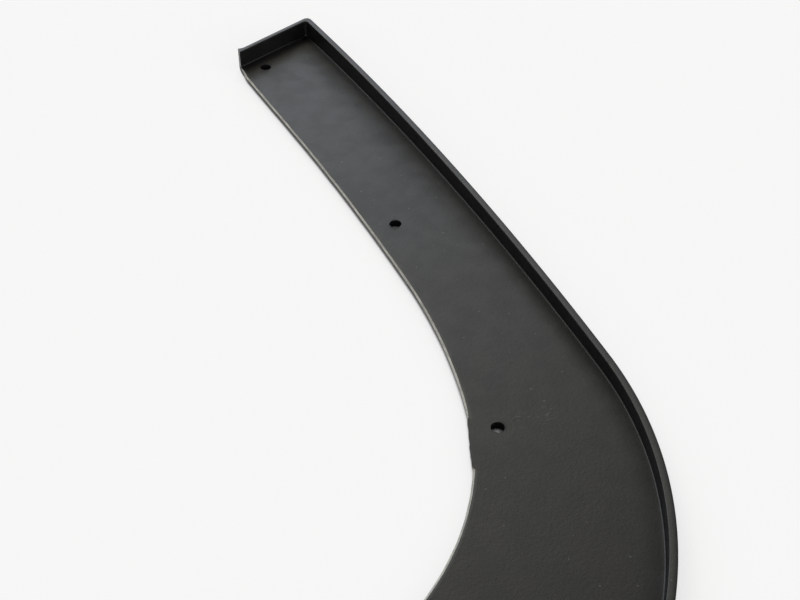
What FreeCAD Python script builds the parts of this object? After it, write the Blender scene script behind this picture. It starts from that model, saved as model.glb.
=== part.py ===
import FreeCAD, Part
import os
from collections import namedtuple
from math import atan2, cos, degrees, radians, sin, sqrt, tan

from FreeCAD import Vector

os.makedirs("parts", exist_ok=True)

# A front lip spoiler, moulded in one piece: a flat plate bent round the nose of a car in plan,
# with a low rim standing along its outer edge and a return wall closing each rear end.
# It lies rim up. X runs across the car, minus Y points forward and Z is up.

# Driving dimensions in millimetres, angles in degrees

# Plate and walls
plate_thickness = 4.0
rim_height = 14.0             # from the underside to the top of the rim, at the rear corner
rim_fall = 0.44               # slope of the rim's top, down towards the front
rim_thickness = 3.4           # at the rim height
end_wall_thickness = 2.8      # at the rim height
wall_draft = 2.0              # release angle of the inner faces of rim and end walls

# Outer line of each side, from the rear corner forward
rear_width = 1500.0           # across the rear corners, before they are rounded
side_toe_in = 10.0            # of the side at the rear corner
side_length = 334.4
side_turn = 8.45
corner_radius = 204.8
front_sweep = 12.0            # slope left for the front run to turn through to the middle

# End wall
end_skew = 4.2                # its inner end stands further forward
end_wall_length = 58.6        # to the trimmed line, drawn on across the wall
flare_length = 7.5            # outward flare of the free end
flare_depth = 1.4

# Inner line, where the moulding is trimmed, from the free end of the wall forward
end_cut_toe_in = 23.0         # of the cut across the free end
end_cut_reach = 13.0          # from the outer face of the wall to the trimmed line
trim_toe_in = 12.5
trim_straight = 61.6
easy_bend_radius = 1880.0
easy_bend_turn = 4.5
close_bend_radius = 342.7
close_bend_turn = 15.4
front_width = 92.7            # of the plate across the front run

# Edges
rear_corner_round = 3.0
tray_corner_round = 1.4       # upright inside corner of rim and end wall
foot_fillet = 0.8             # inside, between plate and walls
underside_round = 1.2
scrape_width = 0.9            # trimmed edge scraped off, measured on the plate
scrape_depth = 0.5
undercut_width = 1.2          # trimmed edge bevelled off under the plate
undercut_height = 2.0

# Screw holes, placed from the trimmed edge
hole_diameter = 6.0
arm_hole_stations = (9.7, 181.9, 326.2)
arm_hole_insets = (14.0, 14.1, 12.1)
front_holes_per_side = 3
front_hole_inset = 12.5

# Stub of the moulding gate, left standing on the trimmed edge of one arm
stub_station = 320.0
stub_length = 28.0
stub_proud = 1.2
stub_height = 1.9

# Room that cutting tools reach past a face, and the tolerance for finding edges
overrun = 5.0
tray_reach = 1.4 * front_width
found = 0.01

Leg = namedtuple("Leg", "start heading end end_heading centre")


def along(heading):
    return Vector(cos(radians(heading)), sin(radians(heading)), 0)


def right_of(heading):
    return Vector(sin(radians(heading)), -cos(radians(heading)), 0)


def straight(start, heading, length):
    return Leg(start, heading, start + along(heading) * length, heading, None)


def bend(start, heading, radius, turn):
    """An arc that turns to the right."""
    centre = start + right_of(heading) * radius
    end_heading = heading - turn
    return Leg(start, heading, centre - right_of(end_heading) * radius, end_heading, centre)


def leg_radius(leg):
    return (leg.start - leg.centre).Length


def leg_length(leg):
    if leg.centre is None:
        return (leg.end - leg.start).Length
    return leg_radius(leg) * radians(leg.heading - leg.end_heading)


def leg_point(leg, distance, offset):
    """The point at a distance along the leg, moved sideways to the right of it."""
    if leg.centre is None:
        return leg.start + along(leg.heading) * distance + right_of(leg.heading) * offset
    heading = leg.heading - degrees(distance / leg_radius(leg))
    return leg.centre - right_of(heading) * (leg_radius(leg) - offset)


def leg_edge(leg):
    if leg.centre is None:
        return Part.makeLine(leg.start, leg.end)
    return Part.Arc(leg.start, leg_point(leg, leg_length(leg) / 2, 0), leg.end).toShape()


def sweep(leg, section):
    """Carry a section of (offset to the right, height) points along a leg."""
    points = [leg.start + right_of(leg.heading) * offset + Vector(0, 0, z) for offset, z in section]
    face = Part.Face(Part.makePolygon(points + points[:1]))
    if leg.centre is None:
        return face.extrude(leg.end - leg.start)
    return face.revolve(leg.centre, Vector(0, 0, -1), leg.heading - leg.end_heading)


def mirrored(shape):
    return shape.mirror(Vector(), Vector(1, 0, 0))


def drafted(thickness, height):
    """Thickness of a wall at a height, thinner towards the top of the rim."""
    return thickness + (rim_height - height) * tan(radians(wall_draft))


def outer_line():
    """The left half of the outer line, from the rear corner to the middle of the front run."""
    rear_corner = Vector(rear_width / 2, 0, 0)
    side = bend(rear_corner, -90 - side_toe_in, side_length / radians(side_turn), side_turn)
    corner = bend(side.end, side.end_heading, corner_radius, 180 - front_sweep + side.end_heading)
    front_radius = corner.end.x / sin(radians(front_sweep))
    return side, corner, bend(corner.end, corner.end_heading, front_radius, front_sweep)


def trim_line(wall, front):
    """The left half of the inner line: the cut across the free end of the wall, then the trimmed edge.
    Its corner arc meets a front run concentric with the outer one."""
    drawn_on = end_cut_reach / cos(radians(trim_toe_in + end_skew))
    rear = straight(wall.start + along(-90 - trim_toe_in) * drawn_on, -90 - trim_toe_in, trim_straight)
    cut_length = (end_cut_reach + flare_depth) / cos(radians(end_cut_toe_in + end_skew))
    cut = straight(rear.start - along(-90 - end_cut_toe_in) * cut_length, -90 - end_cut_toe_in, cut_length)
    easy = bend(rear.end, rear.end_heading, easy_bend_radius, easy_bend_turn)
    close = bend(easy.end, easy.end_heading, close_bend_radius, close_bend_turn)
    front_radius = leg_radius(front) - front_width
    away = close.end - front.centre
    normal = right_of(close.end_heading)
    radius = (front_radius ** 2 - away.Length ** 2) / (2 * (away.dot(normal) + front_radius))
    towards = (close.end + normal * radius - front.centre).normalize()
    front_heading = degrees(atan2(-towards.x, towards.y))
    corner = bend(close.end, close.end_heading, radius, close.end_heading - front_heading)
    front_run = bend(corner.end, front_heading, front_radius, 180 + front_heading)
    return cut, rear, easy, close, corner, front_run


def rear_edges(wall, tip):
    """Edges along the outside of the wall: the flare at its free end and the straight wall."""
    root = leg_point(wall, flare_length, 0)
    run = (root - tip).dot(along(end_skew))
    radius = (run ** 2 + flare_depth ** 2) / (2 * flare_depth)
    rise = radius - sqrt(radius ** 2 - (run / 2) ** 2)
    crest = root - along(end_skew) * (run / 2) - right_of(end_skew) * rise
    return [Part.Arc(tip, crest, root).toShape(), Part.makeLine(root, wall.end)]


def flat_at(edge, height):
    box = edge.BoundBox
    return abs(box.ZMin - height) < found and abs(box.ZMax - height) < found and box.XMax > found


def wall_edges(solid, height, trimmed):
    """Edges lying flat at a height, leaving out the middle plane and the trimmed inner line."""
    chosen = []
    for edge in solid.Edges:
        middle = edge.valueAt((edge.FirstParameter + edge.LastParameter) / 2)
        if flat_at(edge, height) and Part.Vertex(middle.x, middle.y, 0).distToShape(trimmed)[0] > found:
            chosen.append(edge)
    return chosen


def upright_edge(solid, place):
    """The upright edge nearest to a place."""
    upright = [edge for edge in solid.Edges if edge.BoundBox.ZLength > (rim_height - plate_thickness) / 2]
    return min(upright, key=lambda edge: edge.distToShape(Part.Vertex(place))[0])


def above_rim():
    """All the room above the sloping top of the rim."""
    ends = [overrun, -rear_width]
    points = [Vector(-overrun, y, rim_height + y * tan(radians(rim_fall))) for y in ends]
    points += [Vector(-overrun, y, rim_height + 2 * overrun) for y in ends[::-1]]
    return Part.Face(Part.makePolygon(points + points[:1])).extrude(Vector(rear_width, 0, 0))


def tray_section():
    top = rim_height + overrun
    return [(drafted(rim_thickness, plate_thickness), plate_thickness), (drafted(rim_thickness, top), top),
            (tray_reach, top), (tray_reach, plate_thickness)]


def end_wall_block(wall):
    """The room that the end wall takes, reaching far past its ends and its outer face."""
    top = rim_height + 2 * overrun
    section = [(-4 * overrun, 0), (drafted(end_wall_thickness, 0), 0),
               (drafted(end_wall_thickness, top), top), (-4 * overrun, top)]
    return sweep(straight(leg_point(wall, -tray_reach, 0), end_skew, 2 * tray_reach), section)


def moulded_half(outer, trim, wall):
    """The left half of plate, rim and end wall, with its rounded edges."""
    trim_edges = [leg_edge(leg) for leg in trim]
    middle_edge = Part.makeLine(outer[-1].end, trim[-1].end)
    outline = [leg_edge(leg) for leg in outer] + [middle_edge] + trim_edges + rear_edges(wall, trim[0].start)
    block = Part.Face(Part.Wire(Part.__sortEdges__(outline))).extrude(Vector(0, 0, rim_height + overrun))

    end_block = end_wall_block(wall)
    tray = [sweep(leg, tray_section()).cut(end_block) for leg in outer]
    body = block.cut(tray + [above_rim()]).Solids[0]

    trimmed = Part.Compound(trim_edges)
    tray_corner = leg_point(outer[0], drafted(end_wall_thickness, 0), drafted(rim_thickness, 0))
    tray_corner.z = rim_height / 2
    body = body.makeFillet(rear_corner_round, [upright_edge(body, wall.end)])
    body = body.makeFillet(tray_corner_round, [upright_edge(body, tray_corner)])
    body = body.makeFillet(foot_fillet, wall_edges(body, plate_thickness, trimmed))
    body = body.makeFillet(underside_round, wall_edges(body, 0, trimmed))
    return body.cut(scraped_edge(trim, end_block) + screw_holes(trim)).Solids[0]


def scraped_edge(trim, end_block):
    """What is scraped and bevelled off the trimmed edge of the plate, above and below."""
    above = [(overrun, plate_thickness - scrape_depth * (1 + overrun / scrape_width)),
             (-scrape_width, plate_thickness), (overrun, plate_thickness + overrun)]
    below = [(overrun, undercut_height * (1 + overrun / undercut_width)),
             (-undercut_width, 0), (overrun, -overrun)]
    return [sweep(leg, section).cut(end_block) for section in (above, below) for leg in trim]


def place_on(trim, station, offset):
    """A point beside the trimmed line, at a station counted from the free end of the wall."""
    for leg in trim:
        if station <= leg_length(leg):
            break
        station -= leg_length(leg)
    return leg_point(leg, station, offset)


def screw_holes(trim):
    """Holes along the arm, then evenly spaced ones that straddle the middle of the front run."""
    last = arm_hole_stations[-1]
    pitch = (sum(leg_length(leg) for leg in trim) - last) / (front_holes_per_side + 0.5)
    places = list(zip(arm_hole_stations, arm_hole_insets))
    places += [(last + pitch * (i + 1), front_hole_inset) for i in range(front_holes_per_side)]
    holes = []
    for station, inset in places:
        bottom = place_on(trim, station, -inset) - Vector(0, 0, overrun)
        holes.append(Part.makeCylinder(hole_diameter / 2, plate_thickness + 2 * overrun, bottom))
    return holes


def gate_stub(trim):
    """A low lens of uncut material, proud of the trimmed edge."""
    middle = stub_station + stub_length / 2
    ends = [place_on(trim, station, 0) for station in (stub_station, stub_station + stub_length)]
    crest = place_on(trim, middle, stub_proud)
    root = place_on(trim, middle, -2 * scrape_width)
    arcs = [Part.Arc(ends[0], through, ends[1]).toShape() for through in (crest, root)]
    stub = Part.Face(Part.Wire(Part.__sortEdges__(arcs))).extrude(Vector(0, 0, stub_height))
    stub.translate(Vector(0, 0, plate_thickness - stub_height))
    return stub


outer = outer_line()
wall = straight(outer[0].start - along(end_skew) * end_wall_length, end_skew, end_wall_length)
trim = trim_line(wall, outer[-1])

half = moulded_half(outer, trim, wall)
spoiler = half.fuse([mirrored(half), gate_stub(trim)]).removeSplitter().Solids[0]

# The origin lies under the middle of the part
box = spoiler.optimalBoundingBox(False)
spoiler.translate(Vector(0, -box.Center.y, 0))
spoiler.exportStep("parts/front_spoiler.step")
print("front_spoiler", round(box.XLength, 1), "x", round(box.YLength, 1), "x", round(box.ZLength, 1), "mm")
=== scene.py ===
# %% [markdown]
# # A moulded front spoiler
# A front spoiler is a lip that screws under a car's bumper. This one is a single moulding of black
# plastic: a flat plate bent round the nose of the car, a low rim along its outer edge and a short wall
# across each rear end. The imported part gives the frame, so every place below is in metres in that frame.
# The box of the part is kept, to set the nose of the new moulding at its front.

# %% Load the imported part
import bpy
from collections import namedtuple
from math import atan2, cos, degrees, pi, radians, sin, sqrt, tan
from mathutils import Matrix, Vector


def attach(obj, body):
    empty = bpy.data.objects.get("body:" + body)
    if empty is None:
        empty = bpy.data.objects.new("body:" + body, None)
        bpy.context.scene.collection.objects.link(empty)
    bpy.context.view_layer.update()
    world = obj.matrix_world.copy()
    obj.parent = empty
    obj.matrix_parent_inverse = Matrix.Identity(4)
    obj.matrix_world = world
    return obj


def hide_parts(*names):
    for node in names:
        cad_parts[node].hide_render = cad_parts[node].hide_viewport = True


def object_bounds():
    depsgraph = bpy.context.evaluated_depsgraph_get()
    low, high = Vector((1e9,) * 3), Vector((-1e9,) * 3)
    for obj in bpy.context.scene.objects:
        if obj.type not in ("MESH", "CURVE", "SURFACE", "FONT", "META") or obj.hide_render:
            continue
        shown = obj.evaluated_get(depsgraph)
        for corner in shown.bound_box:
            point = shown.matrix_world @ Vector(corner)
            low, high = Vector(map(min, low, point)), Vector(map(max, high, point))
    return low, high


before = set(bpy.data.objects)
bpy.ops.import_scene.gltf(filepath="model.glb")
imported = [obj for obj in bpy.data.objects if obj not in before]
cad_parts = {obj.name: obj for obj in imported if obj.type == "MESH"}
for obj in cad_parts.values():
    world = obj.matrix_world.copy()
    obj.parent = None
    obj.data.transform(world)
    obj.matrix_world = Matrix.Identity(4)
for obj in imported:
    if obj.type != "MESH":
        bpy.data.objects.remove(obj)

part_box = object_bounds()
print("part box", [round(side, 4) for side in part_box[1] - part_box[0]])

# %% [markdown]
# ## Camera
# The view looks down on one arm of the spoiler from just in front of the nose, so that the rear end is
# far away and the bend is near. A camera can be placed by eye, but here its height, its slope and its
# focal length follow from the perspective of the arm, whose edges are known lines on the floor.

# %% Place the camera
camera_x, camera_y, camera_height = 0.32187, -0.32185, 0.415
camera_slope = 41.5           # degrees below the horizon
camera_heading = -41.02       # degrees from the +Y direction

camera_data = bpy.data.cameras.new("camera")
camera_data.sensor_width = 36.0
camera_data.lens = 58.5
camera = bpy.data.objects.new("camera", camera_data)
camera.location = (camera_x, camera_y, camera_height)
camera.rotation_euler = (radians(90 - camera_slope), 0, radians(camera_heading))
bpy.context.scene.collection.objects.link(camera)
bpy.context.scene.camera = camera
print("camera at", [round(place, 3) for place in camera.location])

# %% [markdown]
# ## A helper for node trees
# Materials and geometry below are both made of node trees. Trees can be drawn by hand in the node
# editors, but built in a script they are the same each time. One helper adds a node, sets its properties
# and feeds its inputs, either with plain values or with the outputs of other nodes.

# %% Add nodes to a tree
node_width, node_height, nodes_in_a_row = 220, 260, 8


def add(tree, kind, feeds=None, **settings):
    node = tree.nodes.new(kind)
    row, column = divmod(len(tree.nodes), nodes_in_a_row)
    node.location = (node_width * column, -node_height * row)
    for name, value in settings.items():
        setattr(node, name, value)
    for key, value in (feeds or {}).items():
        if isinstance(value, bpy.types.NodeSocket):
            tree.links.new(value, node.inputs[key])
        else:
            node.inputs[key].default_value = value
    return node


def number(tree, operation, first, second=0.0, third=0.0):
    return add(tree, "ShaderNodeMath", {0: first, 1: second, 2: third}, operation=operation).outputs[0]


def remap(tree, value, low, high, to_low=0.0, to_high=1.0):
    """Stretch one range of a value to another, with soft ends."""
    feeds = {"Value": value, "From Min": low, "From Max": high, "To Min": to_low, "To Max": to_high}
    return add(tree, "ShaderNodeMapRange", feeds, interpolation_type="SMOOTHSTEP").outputs["Result"]


def blend(tree, share, first, second):
    """Mix two colours."""
    mix = add(tree, "ShaderNodeMix", {0: share, 6: first, 7: second}, data_type="RGBA")
    return mix.outputs[2]


print("helpers", [helper.__name__ for helper in (add, number, remap, blend)])

# %% [markdown]
# ## Shared surface effects
# Moulded plastic is never quite even: the tool's fine spark-eroded grain is printed in it, gloss varies
# in soft patches, and a part that has been handled carries dust specks. Painted image textures could show
# all this, but noise that reads the object's own coordinates has no seams and needs no unwrapping. Each
# effect is a node group, built once, and each finish below uses it with its own sizes.

# %% Start a shader group
def start_group(name, inputs, outputs):
    tree = bpy.data.node_groups.new(name, "ShaderNodeTree")
    for label, kind, value in inputs:
        socket = tree.interface.new_socket(label, in_out="INPUT", socket_type=kind)
        if value is not None:
            socket.default_value = value
    for label in outputs:
        tree.interface.new_socket(label, in_out="OUTPUT", socket_type="NodeSocketFloat")
    return tree, tree.nodes.new("NodeGroupInput").outputs, tree.nodes.new("NodeGroupOutput").inputs


def use_group(tree, group, feeds):
    return add(tree, "ShaderNodeGroup", feeds, node_tree=group).outputs


print("helpers", [helper.__name__ for helper in (start_group, use_group)])

# %% Grain and patches of gloss
patch_low, patch_high = 0.3, 0.7                         # stretch of the noise that spans all patches

grain_group, given, result = start_group(
    "moulded_grain",
    [("Place", "NodeSocketVector", None), ("Grain size", "NodeSocketFloat", 0.001),
     ("Patch size", "NodeSocketFloat", 0.03)],
    ["Grain", "Patches"])


def noise(tree, place, size, detail, roughness=0.5, stretch=None):
    """Noise whose lumps have a given size, in the units of its place."""
    if stretch:
        place = add(tree, "ShaderNodeMapping", {"Vector": place, "Scale": stretch}).outputs[0]
    scale = number(tree, "DIVIDE", 1.0, size)
    feeds = {"Vector": place, "Scale": scale, "Detail": detail, "Roughness": roughness}
    return add(tree, "ShaderNodeTexNoise", feeds).outputs["Fac"]


fine = noise(grain_group, given["Place"], given["Grain size"], detail=3.0, roughness=0.6)
broad = noise(grain_group, given["Place"], given["Patch size"], detail=4.0, roughness=0.6)
grain_group.links.new(fine, result["Grain"])
grain_group.links.new(remap(grain_group, broad, patch_low, patch_high), result["Patches"])
print("group", grain_group.name, "puts out", [socket.name for socket in result if socket.name])

# %% [markdown]
# Dust lies in separate specks. A flat Voronoi texture scatters one point in each of its cells, and its
# random colour chooses which cells keep a speck and how large it is. The finish below keeps the specks
# only where a face looks up, because dust falls.

# %% Dust specks
speck_edge = 2.0              # how sharply a speck ends

dust_group, given, result = start_group(
    "dust_specks",
    [("Place", "NodeSocketVector", None), ("Spacing", "NodeSocketFloat", 0.01),
     ("Speck size", "NodeSocketFloat", 0.0004), ("Share kept", "NodeSocketFloat", 0.3)],
    ["Specks"])
cells = add(dust_group, "ShaderNodeTexVoronoi",
            {"Vector": given["Place"], "Scale": number(dust_group, "DIVIDE", 1.0, given["Spacing"])},
            voronoi_dimensions="2D")
chance = add(dust_group, "ShaderNodeSeparateColor", {0: cells.outputs["Color"]}).outputs
reach = number(dust_group, "MULTIPLY", cells.outputs["Distance"], given["Spacing"])
size = number(dust_group, "MULTIPLY", given["Speck size"], chance["Green"])
speck = number(dust_group, "SUBTRACT", 1.0, number(dust_group, "DIVIDE", reach, size))
kept = number(dust_group, "LESS_THAN", chance["Red"], given["Share kept"])
speck = number(dust_group, "MULTIPLY", speck, speck_edge)
speck = add(dust_group, "ShaderNodeClamp", {0: speck}).outputs[0]
dust_group.links.new(number(dust_group, "MULTIPLY", speck, kept), result["Specks"])
print("group", dust_group.name, "puts out", [socket.name for socket in result if socket.name])

# %% [markdown]
# ## Finishes
# The moulded skin is satin black. Almost all that is seen of it is reflection, so its base colour stays
# very dark and its roughness does the work. One screw hole has a faint ring round it, such as a washer
# leaves, and pale scuffs beside it. A Mapping node lays a unit circle over each of these marks, so the
# distance from its middle tells where the mark is, and noise breaks the scuffs up into short strokes. The
# top of the rim is painted a shade paler all along, a painted highlight that is strongest at its inner
# edge. A strip beside the rim, wider towards the narrow rear, is duller than the open plate and painted
# darker, as painted shade beside the rim, and the fillet at the foot of the rim is glossier. How far a
# point lies from the rim is an attribute that the sweep stores further down.

# %% The moulded skin
def start_material(name):
    material = bpy.data.materials.new(name)
    material.use_nodes = True
    tree = material.node_tree
    place = add(tree, "ShaderNodeTexCoord").outputs["Object"]
    return material, tree, tree.nodes["Principled BSDF"], place


def finish_surface(tree, shader, colour, roughness, height, depth):
    """Feed a finish to its shader, with a height map in metres."""
    bump = add(tree, "ShaderNodeBump", {"Height": height, "Distance": depth, "Strength": 1.0})
    tree.links.new(colour, shader.inputs["Base Color"])
    tree.links.new(roughness, shader.inputs["Roughness"])
    tree.links.new(bump.outputs[0], shader.inputs["Normal"])


skin, tree, shader, place = start_material("satin_black_moulding")
grain = use_group(tree, grain_group, {"Place": place, "Grain size": 0.0016, "Patch size": 0.012})
dust = use_group(tree, dust_group,
                 {"Place": place, "Spacing": 0.009, "Speck size": 0.0007, "Share kept": 0.25})
print("started", skin.name)

# %% Marks beside a screw hole
scuff_centre, scuff_turn, scuff_reach = (0.6215, -0.0675, 0.0), radians(-22), (0.016, 0.009, 1.0)
scuff_core = 0.35                                        # share of the patch with all its scuffs
stroke_size, stroke_stretch = 0.15, (0.7, 1.0, 1.0)      # in shares of the scuffed patch
stroke_from, stroke_full = 0.55, 0.69                    # stretch of the noise that makes a stroke
ring_centre, ring_reach = (0.6043, -0.0609, 0.0), (0.007, 0.007, 1.0)
ring_width = 0.13                                        # in shares of the ring's radius
pressed_side = (0.67, -0.74, 0.0)                        # the side on which the ring shows
pressed_from, pressed_full = 0.2, 0.9                    # how far towards that side
scuff_share, ring_share = 0.65, 0.10                     # how strongly each mark shows


def circle_over(tree, place, centre, turn, reach):
    """Places seen from the middle of a mark whose edge is a unit circle, and how far out they are."""
    feeds = {"Vector": place, "Location": centre, "Rotation": (0, 0, turn), "Scale": reach}
    over = add(tree, "ShaderNodeMapping", feeds, vector_type="TEXTURE").outputs[0]
    return over, add(tree, "ShaderNodeVectorMath", {0: over}, operation="LENGTH").outputs["Value"]


scuffed, away = circle_over(tree, place, scuff_centre, scuff_turn, scuff_reach)
strokes = noise(tree, scuffed, stroke_size, detail=2.0, roughness=0.6, stretch=stroke_stretch)
strokes = remap(tree, strokes, stroke_from, stroke_full)
scuffs = number(tree, "MULTIPLY", remap(tree, away, 1.0, scuff_core), strokes)
ringed, away = circle_over(tree, place, ring_centre, 0.0, ring_reach)
ring = remap(tree, number(tree, "ABSOLUTE", number(tree, "SUBTRACT", away, 1.0)), ring_width, 0.0)
pressed = add(tree, "ShaderNodeVectorMath", {0: ringed, 1: pressed_side}, operation="DOT_PRODUCT")
pressed = remap(tree, pressed.outputs["Value"], pressed_from, pressed_full)
ring = number(tree, "MULTIPLY", ring, pressed)
marks = number(tree, "MULTIPLY", scuffs, scuff_share)
marks = number(tree, "MAXIMUM", marks, number(tree, "MULTIPLY", ring, ring_share))
print("marks at", scuff_centre, "and", ring_centre)

# %% Where the skin has a painted highlight, painted shade, dullness or polish
plate_thickness = 0.004
slanting, nearly_level = 0.6, 0.95                       # upward part of a face's normal
rim_top_from, rim_top_full = 0.0088, 0.0094              # heights that only the rim reaches
highlight_most, highlight_none = 0.0014, 0.0038                      # from the foot of the rim outward
# The strip beside the rim is duller and also painted darker, as painted shade beside the rim.
strip_front, strip_rear = 0.012, 0.034                   # width of the dull strip
strip_front_y, strip_rear_y = -0.02, 0.14                # where it has those widths
strip_full = 0.002                                       # from the rim, where the strip is dullest
strip_top = 0.0001                                       # height over the plate at which the strip ends
fillet_low, fillet_from, fillet_to, fillet_high = 0.00002, 0.0001, 0.0007, 0.0010   # over the plate


def parts(tree, whole):
    return add(tree, "ShaderNodeSeparateXYZ", {0: whole}).outputs


def above_plate(tree, height, low, high):
    """A mask that rises between two heights over the plate, or falls if the first is higher."""
    return remap(tree, height, plate_thickness + low, plate_thickness + high)


height = parts(tree, place)["Z"]
facing_up = parts(tree, add(tree, "ShaderNodeNewGeometry").outputs["Normal"])["Z"]
facing_up = remap(tree, facing_up, slanting, nearly_level)
from_rim = add(tree, "ShaderNodeAttribute", attribute_name="from_rim").outputs["Fac"]
# The top of the rim is painted paler here: a painted highlight, strongest at its inner edge.
rim_top_highlight = number(tree, "MULTIPLY", remap(tree, height, rim_top_from, rim_top_full), facing_up)
rim_top_highlight = number(tree, "MULTIPLY", rim_top_highlight, remap(tree, from_rim, highlight_none, highlight_most))
strip = remap(tree, parts(tree, place)["Y"], strip_front_y, strip_rear_y, strip_front, strip_rear)
on_plate_top = above_plate(tree, height, strip_top, 0.0)
# Mask of the strip: it makes the skin duller and paints shade on it beside the rim.
dull_painted_shade_strip = number(tree, "MULTIPLY", remap(tree, from_rim, strip, strip_full), on_plate_top)
over_foot = above_plate(tree, height, fillet_low, fillet_from)
polished = number(tree, "MULTIPLY", over_foot, above_plate(tree, height, fillet_high, fillet_to))
print("dull strip", strip_front, "to", strip_rear, "m wide")

# %% Colour and gloss of the skin
skin_dark, skin_light = (0.0062, 0.0062, 0.0061, 1), (0.0090, 0.0089, 0.0084, 1)
# The paler grey on the rim's top is a painted highlight, and the darker strip black is painted shade.
rim_top_highlight_grey, strip_painted_shade = (0.031, 0.031, 0.030, 1), (0.0030, 0.0030, 0.0030, 1)
dust_grey, mark_grey = (0.15, 0.15, 0.145, 1), (0.10, 0.10, 0.09, 1)
dust_share = 0.4
rough_least, rough_most = 0.385, 0.445
scuff_dulls, strip_dulls, polish = 0.12, 0.14, -0.14     # added to the roughness
skin_grain_depth = 0.00008

black = blend(tree, grain["Patches"], skin_dark, skin_light)
# Painted highlight that makes the top of the rim paler.
black = blend(tree, rim_top_highlight, black, rim_top_highlight_grey)
# Painted shade that darkens the strip beside the rim.
black = blend(tree, dull_painted_shade_strip, black, strip_painted_shade)
specks = number(tree, "MULTIPLY", dust["Specks"], number(tree, "MULTIPLY", facing_up, dust_share))
black = blend(tree, specks, black, dust_grey)
black = blend(tree, marks, black, mark_grey)
gloss = remap(tree, grain["Patches"], 0.0, 1.0, rough_least, rough_most)
gloss = number(tree, "MULTIPLY_ADD", scuffs, scuff_dulls, gloss)
gloss = number(tree, "MULTIPLY_ADD", dull_painted_shade_strip, strip_dulls, gloss)
gloss = number(tree, "MULTIPLY_ADD", polished, polish, gloss)
shader.inputs["IOR"].default_value = 1.48
finish_surface(tree, shader, black, gloss, grain["Grain"], skin_grain_depth)
print("finish", skin.name)

# %% [markdown]
# Along the inner edge the moulding has been trimmed with a blade and then scraped. Scraping whitens black
# plastic, so the scraped slope is pale grey, and the sawn face under it is a darker grey. Both are one
# finish, told apart by height, with a fine grain of their own.

# %% The scraped edge
scraped, tree, shader, place = start_material("scraped_edge")
grain = use_group(tree, grain_group, {"Place": place, "Grain size": 0.0007, "Patch size": 0.006})
sawn_below, scraped_above = 0.0031, 0.0036               # heights between which the finish changes
sawn_dark, sawn_light = (0.020, 0.020, 0.019, 1), (0.045, 0.044, 0.042, 1)
pale_dark, pale_light = (0.390, 0.380, 0.350, 1), (0.690, 0.675, 0.620, 1)
scraped_grain_depth = 0.00006

on_slope = remap(tree, parts(tree, place)["Z"], sawn_below, scraped_above)
sawn = blend(tree, grain["Patches"], sawn_dark, sawn_light)
pale = blend(tree, grain["Patches"], pale_dark, pale_light)
grey = blend(tree, on_slope, sawn, pale)
gloss = remap(tree, grain["Patches"], 0.0, 1.0, to_low=0.5, to_high=0.7)
finish_surface(tree, shader, grey, gloss, grain["Grain"], scraped_grain_depth)
print("finish", scraped.name)

# %% [markdown]
# A drilled hole has no moulded skin on its wall. The drill leaves it rough and dull, so it hardly
# reflects and is seen as plain black.

# %% The wall of a drilled hole
bore, tree, shader, place = start_material("drilled_wall")
grain = use_group(tree, grain_group, {"Place": place, "Grain size": 0.0004, "Patch size": 0.002})
bore_dark, bore_light = (0.0020, 0.0020, 0.0020, 1), (0.0050, 0.0050, 0.0048, 1)
bore_grain_depth = 0.00003

black = blend(tree, grain["Patches"], bore_dark, bore_light)
gloss = remap(tree, grain["Patches"], 0.0, 1.0, to_low=0.7, to_high=0.85)
shader.inputs["IOR"].default_value = 1.3
finish_surface(tree, shader, black, gloss, grain["Grain"], bore_grain_depth)
print("finish", bore.name)

# %% [markdown]
# ## The lines of the moulding
# Seen from above, the spoiler is bounded by two lines. The outer line carries the rim: a nearly straight
# side, a corner and a wide front run, each an arc that leaves the one before without a kink. The inner
# line is where the plate is trimmed. A spline drawn by hand could follow both, but legs of known radius
# keep their sizes exact and easy to change.

# %% Walk along legs
Leg = namedtuple("Leg", "start heading length radius")     # a radius of 0 is straight, others turn right


def ahead(heading):
    return Vector((cos(radians(heading)), sin(radians(heading)), 0))


def left_of(heading):
    return Vector((-sin(radians(heading)), cos(radians(heading)), 0))


def walk(leg, distance):
    """Place and heading after a distance along a leg."""
    if not leg.radius:
        return leg.start + ahead(leg.heading) * distance, leg.heading
    heading = leg.heading - degrees(distance / leg.radius)
    return leg.start + (left_of(heading) - left_of(leg.heading)) * leg.radius, heading


def arc(leg, radius, turn):
    """An arc that goes on from the end of a leg and turns right by an angle."""
    start, heading = walk(leg, leg.length)
    return Leg(start, heading, radius * radians(turn), radius)


print("helpers", [helper.__name__ for helper in (ahead, left_of, walk, arc)])

# %% The outer line of one half
rear_corner = Vector((0.750, 0, 0))
side_heading = -100.0
side_length, side_turn = 0.3344, 8.45
bend_radius = 0.2048
front_sweep = 12.0

side = Leg(rear_corner, side_heading, side_length, side_length / radians(side_turn))
bend = arc(side, bend_radius, 180 - front_sweep + side_heading - side_turn)
front_radius = walk(bend, bend.length)[0].x / sin(radians(front_sweep))
front = arc(bend, front_radius, front_sweep)
front_centre = front.start - left_of(front.heading) * front_radius
nose = walk(front, front.length)[0]
shift = Vector((0, part_box[0].y - nose.y, 0))
print("outer line", round(side.length + bend.length + front.length, 3), "m on each half")

# %% [markdown]
# The end wall runs inward from the rear corner. The inner line starts with a slanting cut across its free
# end, runs straight, eases into two bends and turns through a corner whose radius follows from the rest:
# it has to touch the last bend and also a front run that keeps one distance from the outer line.

# %% The end wall and the arm of one half
end_skew = 4.2
end_wall_length = 0.0586
flare_length, flare_depth = 0.0075, 0.0014
cut_heading, trim_heading = -113.0, -102.5
cut_reach = 0.013             # of the slanting cut, from the outer face of the wall
arm_length = 0.0616
easy_bend_radius, easy_bend_turn = 1.880, 4.5
close_bend_radius, close_bend_turn = 0.3427, 15.4

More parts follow.
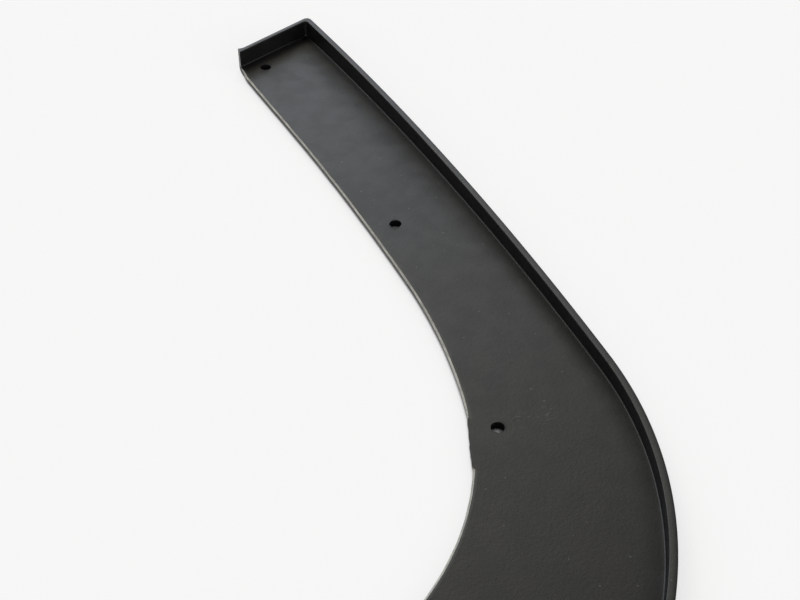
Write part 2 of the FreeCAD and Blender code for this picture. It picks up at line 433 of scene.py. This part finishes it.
wall = Leg(rear_corner - ahead(end_skew) * end_wall_length, end_skew, end_wall_length, 0)
cut_lean = end_skew - 90 - cut_heading
trim_lean = end_skew - 90 - trim_heading
cut_end = wall.start + ahead(trim_heading) * (cut_reach / cos(radians(trim_lean)))
cut_length = (cut_reach + flare_depth) / cos(radians(cut_lean))
end_cut = Leg(cut_end - ahead(cut_heading) * cut_length, cut_heading, cut_length, 0)
arm = Leg(cut_end, trim_heading, arm_length, 0)
easy_bend = arc(arm, easy_bend_radius, easy_bend_turn)
close_bend = arc(easy_bend, close_bend_radius, close_bend_turn)
print("arm", round(arm.length + easy_bend.length + close_bend.length, 3), "m along its trimmed edge")

# %% The inner corner and the inner front run
front_width = 0.0927

inner_front_radius = front_radius - front_width
start, heading = walk(close_bend, close_bend.length)
away = start - front_centre
inner_radius = inner_front_radius ** 2 - away.length_squared
inner_radius /= 2 * (inner_front_radius - away.dot(left_of(heading)))
towards = start - left_of(heading) * inner_radius - front_centre
inner_bend = arc(close_bend, inner_radius, heading - degrees(atan2(-towards.x, towards.y)))
inner_front = arc(inner_bend, inner_front_radius, 180 + walk(inner_bend, inner_bend.length)[1])
inner_line = [end_cut, arm, easy_bend, close_bend, inner_bend, inner_front]


def trim_at(station):
    """Place and heading on the inner line, counted from the free end of the wall."""
    for leg in inner_line:
        if station <= leg.length:
            break
        station -= leg.length
    return walk(leg, min(station, leg.length))


inner_length = sum(leg.length for leg in inner_line)
print("inner line", round(inner_length, 3), "m on each half, corner radius", round(inner_radius, 4), "m")

# %% [markdown]
# ## Stations
# The moulding is one cross-section carried along these lines, so it needs matching places on all of them.
# A station holds three points, on the outer line, at the foot of the rim inside the tray and on the
# trimmed line, and the directions in which the section is laid out there. The first stations are on the
# end wall, whose free end is cut off slanting and flares outward a little.

# %% Walls, their feet and the rear corner
rim_height = 0.014
draft = tan(radians(2.0))
wall_thickness, rim_thickness = 0.0028, 0.0034           # at the top
wall_foot = wall_thickness + (rim_height - plate_thickness) * draft
rim_foot = rim_thickness + (rim_height - plate_thickness) * draft
rear_round, tray_round = 0.003, 0.0014


def between(first, last, share):
    return first + (last - first) * share


def shares(steps):
    """Even shares from 0 up to the last before 1."""
    return [step / steps for step in range(steps)]


def corner_centre(from_wall, from_side):
    """The point at given distances inside the lines of end wall and side."""
    across, along_side = left_of(end_skew), left_of(side_heading)
    turn = across.x * along_side.y - across.y * along_side.x
    x = (from_side * across.y - from_wall * along_side.y) / turn
    y = (from_wall * along_side.x - from_side * across.x) / turn
    return rear_corner + Vector((x, y, 0))


outside_centre = corner_centre(rear_round, rear_round)
inside_centre = corner_centre(wall_foot + tray_round, rim_foot + tray_round)
print("rim", round(rim_foot, 5), "m thick at its foot, end wall", round(wall_foot, 5), "m")

# %% Rim stations on the end wall
RimPlace = namedtuple("RimPlace", "outer inner outward")
flare_steps, wall_steps = 8, 16

outward = left_of(end_skew)
cut_foot = (wall_foot + flare_depth) / cos(radians(cut_lean))
outer_tip, inside_tip = end_cut.start, trim_at(cut_foot)[0]
cut_across = outward + ahead(end_skew) * tan(radians(cut_lean))
root = walk(wall, flare_length)[0]

rim = []
for share in shares(flare_steps):
    swing = flare_depth * (1 - share) ** 2
    on_wall = between(outer_tip - outward * flare_depth, root, share)
    inner = between(inside_tip, root - outward * wall_foot, share)
    rim.append(RimPlace(on_wall + outward * swing, inner, between(cut_across, outward, share)))

last_outer = (outside_centre - wall.start).dot(ahead(end_skew))
last_inner = (inside_centre - wall.start).dot(ahead(end_skew))
for share in shares(wall_steps):
    outer = walk(wall, between(flare_length, last_outer, share))[0]
    inner = walk(wall, between(flare_length, last_inner, share))[0] - outward * wall_foot
    rim.append(RimPlace(outer, inner, outward))
print(len(rim), "rim stations on the end wall")

# %% Rim stations round the corner and along the outer line
corner_steps, side_steps, bend_steps, front_steps = 12, 110, 120, 130

for share in shares(corner_steps):
    facing = left_of(between(end_skew, side_heading, share))
    outer, inner = outside_centre + facing * rear_round, inside_centre + facing * tray_round
    rim.append(RimPlace(outer, inner, facing))

first_outer = (outside_centre - rear_corner).dot(ahead(side_heading))
first_inner = (inside_centre - rear_corner).dot(ahead(side_heading))
for share in shares(side_steps):
    outer, heading = walk(side, between(first_outer, side.length, share))
    inner, inner_heading = walk(side, between(first_inner, side.length, share))
    rim.append(RimPlace(outer, inner - left_of(inner_heading) * rim_foot, left_of(heading)))
for leg, steps in ((bend, bend_steps), (front, front_steps)):
    ends = [1.0] if leg is front else []                 # the front run also has its end, on the nose
    for share in shares(steps) + ends:
        outer, heading = walk(leg, leg.length * share)
        rim.append(RimPlace(outer, outer - left_of(heading) * rim_foot, left_of(heading)))
print(len(rim), "rim stations on one half")

# %% [markdown]
# The trimmed line gets as many stations, spread so that the end wall faces the rear of the line, the
# corner faces the corner and the front faces the front. Near the free end the plate tapers to nothing, so
# a share says how much of its fillet and scraped slope there is room for. On one arm the stub of the
# moulding gate was left uncut, and the scraped slope runs out towards it.

# %% Trim stations of one half
stub_start, stub_length = 0.320, 0.028
run_out, least_scrape = 0.008, 0.3
rear_stretch = 0.060          # of the inner line, which the end wall and its corner face
full_plate = 0.006            # width from which the plate has its whole fillet and slope

TrimPlace = namedtuple("TrimPlace", "trim into_plate stub scraped")

corner_station = end_cut.length + arm.length + easy_bend.length + close_bend.length
stretches = [
    (flare_steps + wall_steps + corner_steps, cut_foot, rear_stretch),
    (side_steps, rear_stretch, corner_station),
    (bend_steps, corner_station, corner_station + inner_bend.length),
    (front_steps + 1, corner_station + inner_bend.length, inner_length)]

trimmed = []
for steps, first, last in stretches:
    for step in range(steps):
        gaps = steps - 1 if last == inner_length else steps       # the last stretch has its end too
        station = between(first, last, step / gaps)
        place, heading = trim_at(station)
        reach = (station - stub_start) / stub_length * 2 - 1
        stub = sqrt(1 - reach ** 2) if abs(reach) < 1 else 0.0
        to_stub = (stub_start - station) / run_out
        bare = 1.0 if to_stub < 0 else min(1.0, least_scrape + (1 - least_scrape) * to_stub)
        settle = min(1, len(trimmed) / flare_steps)
        into_plate = between(cut_across.normalized(), left_of(heading), settle).normalized()
        trimmed.append(TrimPlace(place, into_plate, stub, bare * (stub == 0)))
print(len(trimmed), "trim stations on one half")

# %% [markdown]
# The other half is the mirror image, read backwards so that one path runs from free end to free end. All
# that a station holds is kept as attributes on the points of that path, where Geometry Nodes can read it.

# %% Stations of both halves
def flipped(vector):
    return Vector((-vector.x, vector.y, vector.z))


half = []
for on_rim, on_trim in zip(rim, trimmed):
    plate = min(1, (on_rim.inner - on_trim.trim).length / full_plate)
    scrape = plate * on_trim.scraped
    lines = [on_rim.outer + shift, on_rim.inner + shift, on_trim.trim + shift]
    lines += [on_rim.outward, on_trim.into_plate]
    half.append((lines, Vector((1, plate, scrape)), on_trim.stub))
other_half = []
for lines, share, stub in half[-2::-1]:
    other_half.append(([flipped(line) for line in lines], Vector((1, share.y, share.y)), 0.0))
stations = half + other_half
print(len(half), "stations on one half and", len(other_half), "on the other")


# %% One path through all stations
def keep(mesh, name, values):
    """Store a number or a vector on each point of a mesh."""
    if isinstance(values[0], Vector):
        attribute = mesh.attributes.new(name, "FLOAT_VECTOR", "POINT")
        attribute.data.foreach_set("vector", [part for value in values for part in value])
    else:
        attribute = mesh.attributes.new(name, "FLOAT", "POINT")
        attribute.data.foreach_set("value", values)


path = bpy.data.meshes.new("moulding_path")
count = len(stations)
steps_between = [(i, i + 1) for i in range(count - 1)]
path.from_pydata([lines[0] for lines, share, stub in stations], steps_between, [])
line_names = ("outer", "inner", "trim", "outward", "into_plate")
for index, name in enumerate(line_names):
    keep(path, name, [lines[index] for lines, share, stub in stations])
keep(path, "shares", [share for lines, share, stub in stations])
keep(path, "stub", [stub for lines, share, stub in stations])
print("path with", count, "stations")

# %% [markdown]
# ## The cross-section
# The section is a ring of rows. Each row hangs on one of the three lines: the rounds of the rim hang on
# the outer line and the foot line, the scraped slope on the trimmed line, and the rows of the flat plate
# between two of them. That is how one section can follow a plate whose width changes all the way. The rim
# gets lower towards the front, so each row also says how much of that fall it takes part in. Each round
# has a few rows, and a row beside it on the flat holds the shading flat there.

# %% Sizes of the section
rim_round, under_round, foot_fillet = 0.0004, 0.0012, 0.0008
scrape_width, scrape_depth = 0.0009, 0.0005
undercut_width, undercut_height = 0.0012, 0.0026
trim_hold, foot_hold, outer_hold, undercut_hold = 0.0022, 0.0022, 0.0022, 0.0024   # rows beside a round
near_top, outside_middle, outside_low = 0.0133, 0.0075, 0.0016     # heights of rows on the rim
face_middle, face_low = 0.009, 0.0052
print("rounds of", rim_round, "and", under_round, "m, fillet of", foot_fillet, "m")

# %% Kinds of row
Row = namedtuple("Row", "anchor reach level share_of bared falls", defaults=(0.0, Vector()))
ALWAYS, PLATE, SCRAPE = Vector((1, 0, 0)), Vector((0, 1, 0)), Vector((0, 0, 1))    # a station's shares


def on_outer(inset, height, fall=0.0):
    """On the outer line, or set in from it."""
    level = Vector((height, height, 0))
    return Row(Vector((1, 0, 0)), Vector((-inset, 0, 0)), level, ALWAYS, falls=Vector((fall, 0, 0)))


def on_face(height, out=0.0, fall=0.0):
    """On the drafted inner face of the rim."""
    reach, level = (height - plate_thickness) * draft + out, Vector((height, height, 0))
    falls = Vector((fall, fall * draft, 0))
    return Row(Vector((0, 1, 0)), Vector((reach, 0, 0)), level, ALWAYS, falls=falls)


def at_foot(reach, height):
    """On the fillet at the foot of the rim."""
    return Row(Vector((0, 1, 0)), Vector((reach, 0, 0)), Vector((height, plate_thickness, 0)), PLATE)


def on_plate(share):
    """On top of the plate, from the trimmed edge at 0 to the foot of the rim at 1."""
    reach = Vector((-foot_hold * share, trim_hold * (1 - share), 0))
    return Row(Vector((0, share, 1 - share)), reach, Vector((plate_thickness, plate_thickness, 0)), PLATE)


def under_plate(share):
    """Under the plate, from the outer line at 0 to the trimmed edge at 1."""
    reach = Vector((-outer_hold * (1 - share), undercut_hold * share, 0))
    return Row(Vector((1 - share, 0, share)), reach, Vector((0, 0, 0)), ALWAYS)


def on_undercut(inset, height, bared):
    """On the undercut face of the trimmed edge."""
    return Row(Vector((0, 0, 1)), Vector((0, inset, 0)), Vector((height, 0, 0)), PLATE, bared)


def on_scrape(share):
    """On the scraped slope, from the trimmed edge at 0 to the plate at 1."""
    level = Vector((plate_thickness - scrape_depth * (1 - share), plate_thickness, 0))
    return Row(Vector((0, 0, 1)), Vector((0, scrape_width * share, 0)), level, SCRAPE, 1.0)


kinds = (on_outer, on_face, at_foot, on_plate, under_plate, on_undercut, on_scrape)
print("kinds of row", [kind.__name__ for kind in kinds])

# %% Rows of the section
round_steps = 5
quarter = [pi / 2 * step / round_steps for step in range(round_steps + 1)]
fillet = [(foot_fillet * (sin(a) - 1), foot_fillet * (1 - cos(a))) for a in quarter]
top = rim_height - rim_round
rows = [on_face(top + rim_round * sin(a), rim_round * (1 - cos(a)), fall=1.0) for a in quarter]
rows += [on_outer(rim_round * (1 - sin(a)), top + rim_round * cos(a), fall=1.0) for a in quarter]
rows += [on_outer(0, near_top, fall=1.0), on_outer(0, outside_middle, fall=0.5), on_outer(0, outside_low)]
rows += [on_outer(under_round * (1 - cos(a)), under_round * (1 - sin(a))) for a in quarter]
rows += [under_plate(share) for share in (0.0, 0.25, 0.5, 0.75, 1.0)]
rows += [on_undercut(undercut_width, 0, bared=0.0), on_undercut(0, undercut_height, bared=1.0)]
rows += [on_scrape(share) for share in (0.0, 0.33, 0.67, 1.0)]
rows += [on_plate(share) for share in (0.0, 0.1, 0.3, 0.5, 0.7, 0.9, 1.0)]
rows += [at_foot(reach, plate_thickness + rise) for reach, rise in fillet]
rows += [on_face(face_low), on_face(face_middle, fall=0.5), on_face(near_top, fall=1.0)]

section = bpy.data.meshes.new("moulding_section")
ring = [(i, (i + 1) % len(rows)) for i in range(len(rows))]
section.from_pydata([(cos(i), sin(i), 0) for i in range(len(rows))], ring, [])
for name in Row._fields:
    keep(section, name, [getattr(row, name) for row in rows])
section_object = bpy.data.objects.new("moulding_section", section)
bpy.context.scene.collection.objects.link(section_object)
print("section with", len(rows), "rows")

# %% [markdown]
# ## Sweeping the moulding
# A tree of Geometry Nodes carries the section along the path. Curve to Mesh joins every row with every
# station and hands on the attributes of both, so each point of the new mesh knows its row and its
# station. The tree then works out where that point belongs. The trimmed line also wavers a little, as a
# hand-held blade does, and the stub stands proud with a torn edge. Both come from noise with a fixed
# seed. Laid out this way round the faces look inward, so Flip Faces turns them all outward.

# %% Start the sweep
def start_tree(name, inputs):
    tree = bpy.data.node_groups.new(name, "GeometryNodeTree")
    tree.interface.new_socket("Geometry", in_out="INPUT", socket_type="NodeSocketGeometry")
    for label, kind in inputs:
        tree.interface.new_socket(label, in_out="INPUT", socket_type=kind)
    tree.interface.new_socket("Geometry", in_out="OUTPUT", socket_type="NodeSocketGeometry")
    return tree, tree.nodes.new("NodeGroupInput").outputs, tree.nodes.new("NodeGroupOutput").inputs


def read(tree, name, kind="FLOAT_VECTOR"):
    node = add(tree, "GeometryNodeInputNamedAttribute", {"Name": name}, data_type=kind)
    return node.outputs["Attribute"]


def vector(tree, operation, first, second):
    node = add(tree, "ShaderNodeVectorMath", {0: first, 1: second}, operation=operation)
    return node.outputs["Value" if operation in ("DOT_PRODUCT", "DISTANCE") else "Vector"]


def scaled(tree, first, amount):
    feeds = {0: first, "Scale": amount}
    return add(tree, "ShaderNodeVectorMath", feeds, operation="SCALE").outputs["Vector"]


sweep, given, result = start_tree("sweep_moulding", [
    ("Section", "NodeSocketObject"), ("Rear", "NodeSocketFloat"), ("Rim fall", "NodeSocketFloat"),
    ("Blade waver", "NodeSocketFloat"), ("Stub proud", "NodeSocketFloat"), ("Seed", "NodeSocketFloat"),
    ("Moulded skin", "NodeSocketMaterial"), ("Scraped edge", "NodeSocketMaterial")])
path_curve = add(sweep, "GeometryNodeMeshToCurve", {"Mesh": given["Geometry"]}).outputs[0]
section_mesh = add(sweep, "GeometryNodeObjectInfo", {"Object": given["Section"]}).outputs["Geometry"]
section_curve = add(sweep, "GeometryNodeMeshToCurve", {"Mesh": section_mesh}).outputs[0]
swept = add(sweep, "GeometryNodeCurveToMesh",
            {"Curve": path_curve, "Profile Curve": section_curve, "Fill Caps": True}).outputs[0]
print("started", sweep.name)

# %% Lay each point on its lines
anchor = parts(sweep, read(sweep, "anchor"))
reach = parts(sweep, read(sweep, "reach"))
level = parts(sweep, read(sweep, "level"))
share = vector(sweep, "DOT_PRODUCT", read(sweep, "shares"), read(sweep, "share_of"))

on_lines = scaled(sweep, read(sweep, "outer"), anchor["X"])
on_lines = vector(sweep, "ADD", on_lines, scaled(sweep, read(sweep, "inner"), anchor["Y"]))
on_lines = vector(sweep, "ADD", on_lines, scaled(sweep, read(sweep, "trim"), anchor["Z"]))
falls = parts(sweep, read(sweep, "falls"))
forward = number(sweep, "SUBTRACT", given["Rear"], parts(sweep, read(sweep, "outer"))["Y"])
drop = number(sweep, "MULTIPLY", forward, given["Rim fall"])
out = number(sweep, "MULTIPLY", reach["X"], share)
out = number(sweep, "SUBTRACT", out, number(sweep, "MULTIPLY", drop, falls["Y"]))
out = scaled(sweep, read(sweep, "outward"), out)
into = number(sweep, "MULTIPLY", reach["Y"], share)
rise = number(sweep, "SUBTRACT", level["X"], level["Y"])
height = number(sweep, "MULTIPLY_ADD", rise, share, level["Y"])
height = number(sweep, "SUBTRACT", height, number(sweep, "MULTIPLY", drop, falls["X"]))
print("sweep has", len(sweep.nodes), "nodes for its lines")

# %% Let the blade waver and tear the stub
tear_size, waver_size = 0.003, 0.012
tear_least, tear_range = 0.1, 1.6                        # how far the torn edge stands out, in shares
weld_distance = 1e-6


def wander(size, detail):
    """Noise along the trimmed line, from 0 to 1."""
    feeds = {"Vector": read(sweep, "trim"), "W": given["Seed"], "Scale": 1 / size, "Detail": detail}
    return add(sweep, "ShaderNodeTexNoise", feeds, noise_dimensions="4D").outputs["Fac"]


stub = read(sweep, "stub", "FLOAT")
torn = number(sweep, "MULTIPLY_ADD", wander(tear_size, detail=2.0), tear_range, tear_least)
proud = number(sweep, "MULTIPLY", number(sweep, "MULTIPLY", stub, torn), given["Stub proud"])
waver = number(sweep, "MULTIPLY", wander(waver_size, detail=3.0), given["Blade waver"])
waver = number(sweep, "SUBTRACT", waver, proud)
into = number(sweep, "MULTIPLY_ADD", waver, anchor["Z"], into)

into = scaled(sweep, read(sweep, "into_plate"), into)
spot = vector(sweep, "ADD", on_lines, vector(sweep, "ADD", out, into))
from_rim = vector(sweep, "DISTANCE", spot, read(sweep, "inner"))
swept = add(sweep, "GeometryNodeStoreNamedAttribute",
            {"Geometry": swept, "Name": "from_rim", "Value": from_rim}, data_type="FLOAT").outputs[0]
spot = parts(sweep, spot)
spot = add(sweep, "ShaderNodeCombineXYZ", {"X": spot["X"], "Y": spot["Y"], "Z": height}).outputs[0]
laid = add(sweep, "GeometryNodeSetPosition", {"Geometry": swept, "Position": spot}).outputs[0]
laid = add(sweep, "GeometryNodeMergeByDistance", {"Geometry": laid, "Distance": weld_distance}).outputs[0]
laid = add(sweep, "GeometryNodeFlipFaces", {"Mesh": laid}).outputs[0]
print("sweep has", len(sweep.nodes), "nodes with the waver and the torn stub")

# %% Finish the sweep
bared_from, scraped_from = 0.7, 0.25                     # shares from which a face is scraped
bared = number(sweep, "GREATER_THAN", read(sweep, "bared", "FLOAT"), bared_from)
scraped_here = number(sweep, "GREATER_THAN", parts(sweep, read(sweep, "shares"))["Z"], scraped_from)
bared = number(sweep, "MULTIPLY", bared, scraped_here)
laid = add(sweep, "GeometryNodeRealizeInstances", {"Geometry": laid}).outputs[0]
laid = add(sweep, "GeometryNodeSetMaterial",
           {"Geometry": laid, "Material": given["Moulded skin"]}).outputs[0]
laid = add(sweep, "GeometryNodeSetMaterial",
           {"Geometry": laid, "Selection": bared, "Material": given["Scraped edge"]}).outputs[0]
sweep.links.new(laid, result["Geometry"])
print("tree", sweep.name, "with", len(sweep.nodes), "nodes")

# %% [markdown]
# ## Drilling the screw holes
# Screw holes follow the trimmed line: three along each arm, then an even row round the front. One drill
# is turned as a small lathe shape with a flared neck, so that it also breaks the edge of the hole. A
# second tree sets it on every hole centre and cuts all the holes in one go.

# %% Hole centres
arm_holes = [(0.0097, 0.0140), (0.1819, 0.0141), (0.3262, 0.0121)]     # station and inset
front_inset, front_holes = 0.0125, 3
hole_radius, edge_break = 0.003, 0.0001

pitch = (inner_length - arm_holes[-1][0]) / (front_holes + 0.5)     # both halves share the middle pitch
holes = arm_holes + [(arm_holes[-1][0] + pitch * (i + 1), front_inset) for i in range(front_holes)]
centres = []
for station, inset in holes:
    place, heading = trim_at(station)
    centre = place + left_of(heading) * inset + shift
    centres += [centre, flipped(centre)]

centre_mesh = bpy.data.meshes.new("hole_centres")
centre_mesh.from_pydata(centres, [], [])
centre_object = bpy.data.objects.new("hole_centres", centre_mesh)
bpy.context.scene.collection.objects.link(centre_object)
print(len(centres), "screw holes, front pitch", round(pitch, 3), "m")

# %% Turn the drill
neck = plate_thickness - edge_break
drill_point = -0.002
flare = 3 * edge_break
profile = [(hole_radius, drill_point), (hole_radius, neck), (hole_radius + flare, neck + flare)]
sides = 48
turns = [2 * pi * i / sides for i in range(sides)]
corners, faces = [], []
for radius, z in profile:
    corners += [(radius * cos(turn), radius * sin(turn), z) for turn in turns]
for low in range(len(profile) - 1):
    for i in range(sides):
        j = (i + 1) % sides
        faces.append([low * sides + i, low * sides + j, (low + 1) * sides + j, (low + 1) * sides + i])
faces.append(list(range(sides))[::-1])
faces.append([(len(profile) - 1) * sides + i for i in range(sides)])

drill_mesh = bpy.data.meshes.new("drill")
drill_mesh.from_pydata(corners, [], faces)
drill = bpy.data.objects.new("drill", drill_mesh)
bpy.context.scene.collection.objects.link(drill)
print("drill with", len(faces), "faces")

# %% Cut the holes
drilling, given, result = start_tree("drill_holes", [
    ("Centres", "NodeSocketObject"), ("Drill", "NodeSocketObject"), ("Hole wall", "NodeSocketMaterial")])
centre_points = add(drilling, "GeometryNodeObjectInfo", {"Object": given["Centres"]}).outputs["Geometry"]
drill_shape = add(drilling, "GeometryNodeObjectInfo", {"Object": given["Drill"]}).outputs["Geometry"]
drills = add(drilling, "GeometryNodeInstanceOnPoints",
             {"Points": centre_points, "Instance": drill_shape}).outputs[0]
drills = add(drilling, "GeometryNodeRealizeInstances", {"Geometry": drills}).outputs[0]
drills = add(drilling, "GeometryNodeSetMaterial",
             {"Geometry": drills, "Material": given["Hole wall"]}).outputs[0]
drilled = add(drilling, "GeometryNodeMeshBoolean",
              {"Mesh 1": given["Geometry"], "Mesh 2": drills}, operation="DIFFERENCE", solver="MANIFOLD")
drilling.links.new(drilled.outputs["Mesh"], result["Geometry"])
print("tree", drilling.name)

# %% [markdown]
# ## One plain mesh
# The path object carries both trees as modifiers. Their inputs are set before Blender first evaluates
# them, then the result is made a plain mesh and the helpers are deleted. Smooth shading is kept off the
# real edges by marking every edge sharper than a set angle.

# %% Make the moulding
def run_trees(name, mesh, steps):
    """Evaluate trees on a mesh, one after the other, and keep the result as a plain mesh."""
    piece = bpy.data.objects.new(name, mesh)
    bpy.context.scene.collection.objects.link(piece)
    for tree, values in steps:
        modifier = piece.modifiers.new(tree.name, "NODES")
        modifier.node_group = tree
        for item in tree.interface.items_tree:
            if item.in_out == "INPUT" and item.name in values:
                modifier[item.identifier] = values[item.name]
    evaluated = piece.evaluated_get(bpy.context.evaluated_depsgraph_get())
    plain = bpy.data.meshes.new_from_object(evaluated)
    piece.modifiers.clear()
    piece.data = plain
    return piece


rim_fall = tan(radians(0.44))
blade_waver, stub_proud, seed = 0.0004, 0.0012, 4.0
moulding = run_trees("spoiler_moulding", path, [
    (sweep, {"Section": section_object, "Rear": shift.y, "Rim fall": rim_fall, "Blade waver": blade_waver,
             "Stub proud": stub_proud, "Seed": seed, "Moulded skin": skin, "Scraped edge": scraped}),
    (drilling, {"Centres": centre_object, "Drill": drill, "Hole wall": bore})])
for helper in (section_object, centre_object, drill):
    bpy.data.objects.remove(helper)

smooth_up_to = radians(32)
mesh = moulding.data
mesh.polygons.foreach_set("use_smooth", [True] * len(mesh.polygons))
mesh.set_sharp_from_angle(angle=smooth_up_to)
for name in line_names + ("shares", "stub") + Row._fields:
    if name in mesh.attributes:
        mesh.attributes.remove(mesh.attributes[name])
print("attributes left", [attribute.name for attribute in mesh.attributes])
print("moulding with", len(mesh.polygons), "faces and", len(mesh.materials), "finishes")

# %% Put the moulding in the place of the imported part
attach(moulding, "root")
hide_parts("front_spoiler")
print(moulding.name, "stands for the packed part")

# %% [markdown]
# ## Floor and light
# The part lies on a wide white table. A satin black plate shows whatever it reflects, so the sky round it
# matters more than any lamp. Colour ramps by height make that sky: a bright wall stands behind the part,
# and the ceiling over it falls off into the dark, which is the soft shading seen along the plate. The
# wall also fades from left to right, so that the side of the rim stays black. Behind the camera there is
# a plain room, lit from the right, which shows in the end wall and on the trimmed edge.

# %% Light the scene
world = bpy.data.worlds.new("studio")
world.use_nodes = True
bpy.context.scene.world = world
tree = world.node_tree
direction = add(tree, "ShaderNodeTexCoord").outputs["Generated"]
far = (sin(radians(-camera_heading)), cos(radians(camera_heading)), 0.0)
right = (cos(radians(camera_heading)), sin(radians(camera_heading)), 0.0)
facing = vector(tree, "DOT_PRODUCT", direction, far)
beside = vector(tree, "DOT_PRODUCT", direction, right)
up = parts(tree, direction)["Z"]


def sky(tree, up, stops):
    """Colours by height, from the horizon at 0 to straight above at 1."""
    ramp = add(tree, "ShaderNodeValToRGB", {0: up})
    elements = ramp.color_ramp.elements
    while len(elements) < len(stops):
        elements.new(0.5)
    for element, (place, colour) in zip(elements, stops):
        element.position = place
        element.color = (*colour, 1)
    return ramp.outputs["Color"]


far_sky = sky(tree, up, [
    (0.0, (0.69, 0.75, 0.87)), (0.52, (0.66, 0.72, 0.83)), (0.61, (0.59, 0.61, 0.62)),
    (0.71, (1.17, 1.145, 0.99)), (0.78, (1.0, 0.955, 0.79)), (0.84, (0.38, 0.36, 0.31)),
    (1.0, (0.10, 0.095, 0.09))])
near_sky = sky(tree, up, [
    (0.0, (0.95, 0.95, 0.95)), (0.35, (0.80, 0.80, 0.80)), (0.6, (0.35, 0.35, 0.35)),
    (1.0, (0.20, 0.19, 0.18))])
print("sky colours for the far and the near side")

# %% Brightness from left to right
side_change = 0.35                                       # cosine at which a side is wholly near or far
far_wall_bright, far_wall_dim = 2.85, 0.09               # strength of the far wall, left and right
fade_from, fade_to = -0.22, 0.5                          # cosines to the right, where it fades
far_wall_end = 0.10                                      # share of it at its left end
end_from, end_to = -0.85, -0.35                          # cosines to the right, where that end rises
room_left, room_right = 0.6, 1.5                         # strength of the room behind the camera
room_edge = 0.6                                          # cosine at which the room stops changing

side_share = remap(tree, facing, -side_change, side_change)
background = tree.nodes["Background"]
tree.links.new(blend(tree, side_share, near_sky, far_sky), background.inputs["Color"])
panel = remap(tree, beside, fade_from, fade_to, far_wall_bright, far_wall_dim)
panel = number(tree, "MULTIPLY", panel, remap(tree, beside, end_from, end_to, far_wall_end, 1.0))
behind = remap(tree, beside, -room_edge, room_edge, room_left, room_right)
level = add(tree, "ShaderNodeMix", {0: side_share, 2: behind, 3: panel}).outputs[0]
tree.links.new(level, background.inputs["Strength"])
bpy.context.scene.view_settings.view_transform = "Standard"
print("sky with", len(tree.nodes), "nodes")

# %% [markdown]
# Lit by that sky alone, the table comes out grey. More light would wash out the plate, so the table glows
# instead, and only for rays that come from the camera, a reflection or a clear material. Ambient
# occlusion takes the glow away in the holes and close under the edges, where a real table is in shadow
# too.

# %% Lay the floor
floor_mesh = bpy.data.meshes.new("floor")
reach = 40.0
floor_corners = [(-reach, -reach, 0), (reach, -reach, 0), (reach, reach, 0), (-reach, reach, 0)]
floor_mesh.from_pydata(floor_corners, [], [(0, 1, 2, 3)])
floor = bpy.data.objects.new("floor", floor_mesh)
bpy.context.scene.collection.objects.link(floor)

shadow_reach = 0.02
shaded, clear = 0.34, 0.55                               # how open the floor is, from no glow to full
glow_strength = 0.68
table_grey = (0.42, 0.42, 0.425, 1)

white, tree, shader, place = start_material("white_table")
rays = add(tree, "ShaderNodeLightPath").outputs
seen = number(tree, "MAXIMUM", rays["Is Camera Ray"], rays["Is Glossy Ray"])
seen = number(tree, "MAXIMUM", seen, rays["Is Transmission Ray"])
open_sky = add(tree, "ShaderNodeAmbientOcclusion", {"Distance": shadow_reach}).outputs["AO"]
glow = number(tree, "MULTIPLY", seen, remap(tree, open_sky, shaded, clear, 0.0, glow_strength))
shader.inputs["Base Color"].default_value = table_grey
shader.inputs["Roughness"].default_value = 0.9
shader.inputs["Specular IOR Level"].default_value = 0.0
shader.inputs["Emission Color"].default_value = (1.0, 1.0, 1.0, 1)
tree.links.new(glow, shader.inputs["Emission Strength"])
floor_mesh.materials.append(white)
print("floor", 2 * reach, "m wide")
